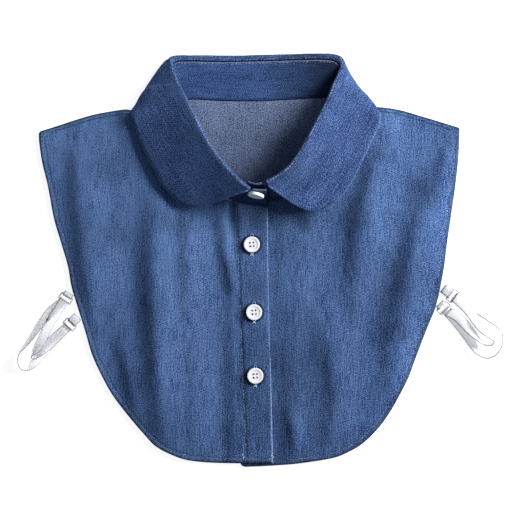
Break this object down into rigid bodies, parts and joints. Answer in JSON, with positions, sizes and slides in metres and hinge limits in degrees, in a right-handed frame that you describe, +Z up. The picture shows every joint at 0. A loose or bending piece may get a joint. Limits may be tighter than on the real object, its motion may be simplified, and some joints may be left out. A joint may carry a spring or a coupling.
{
  "type": "detachable shirt collar",
  "caption": "False shirt collar with rounded leaf, stand, buttoned front bib, back bib and elastic side straps, lying on its back.",
  "frame": {"origin": "on the table, at the middle of the footprint with the straps", "axes": "+Z up from the table, towards the front bib; +Y from the hem to the collar; +X to the wearer's left"},
  "size_m": [0.3878, 0.3301, 0.0367],
  "materials": {
    "denim": "washed mid-blue cotton denim",
    "denim_wrong_side": "greyish wrong side of the same denim",
    "button": "white, softly polished",
    "elastic": "white woven elastic",
    "ring_plastic": "clear to white plastic"
  },
  "bodies": {
    "root": {"front_panel_left": "denim", "front_panel_right": "denim", "back_panel": "denim_wrong_side", "collar_stand": "denim", "collar_leaf": "denim", "collar_button": "button", "button_top": "button", "button_middle": "button", "button_bottom": "button", "left_strap": "elastic", "left_front_ring": "ring_plastic", "left_front_tab": "elastic", "left_back_ring": "ring_plastic", "left_back_tab": "elastic", "right_strap": "elastic", "right_front_ring": "ring_plastic", "right_front_tab": "elastic", "right_back_ring": "ring_plastic", "right_back_tab": "elastic"}
  },
  "joints": []
}
